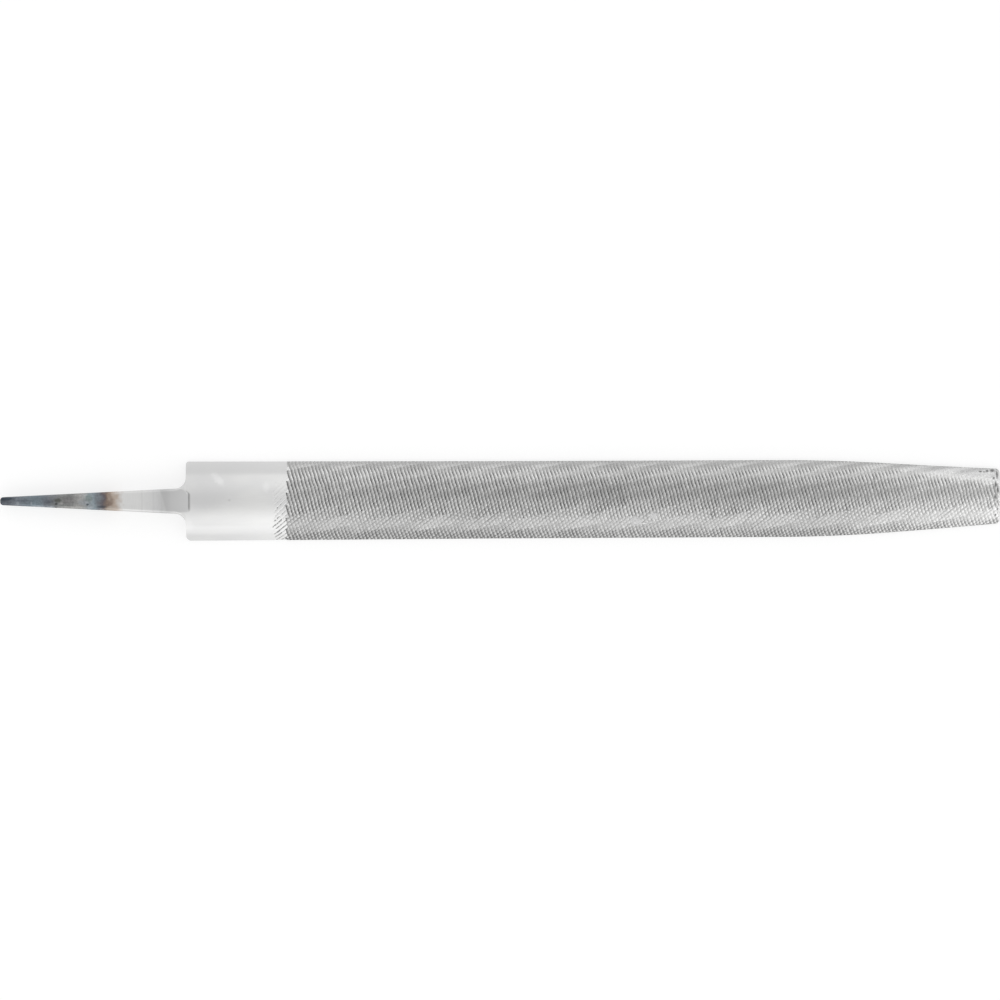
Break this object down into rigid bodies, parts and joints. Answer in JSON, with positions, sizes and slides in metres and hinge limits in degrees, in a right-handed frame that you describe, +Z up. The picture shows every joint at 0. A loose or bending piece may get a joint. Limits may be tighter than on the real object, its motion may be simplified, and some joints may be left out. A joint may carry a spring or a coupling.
{
  "type": "half round file",
  "caption": "Half round file for shaping metal: toothed blade, round on one side and flat on the other, narrowing to a square point, with an uncut heel and a bare tapered tang.",
  "frame": {"origin": "under the middle of the file's length and width, on the plane of the flat side that it lies on", "axes": "+X along the file from the tang to the point, +Y across it, +Z up through the round side"},
  "size_m": [0.307, 0.0244, 0.0072],
  "materials": {
    "tang_steel": "soft forged steel with heat colours, dark blue grey at the tip, a brown and straw band, then bright towards the shoulder",
    "ground_steel": "bright satin ground steel",
    "toothed_steel": "hardened steel cut with crossing rows of teeth, matt grey with bright tooth edges"
  },
  "bodies": {
    "root": {"tang": "tang_steel", "heel": "ground_steel", "body": "toothed_steel", "point": "toothed_steel"}
  },
  "joints": []
}
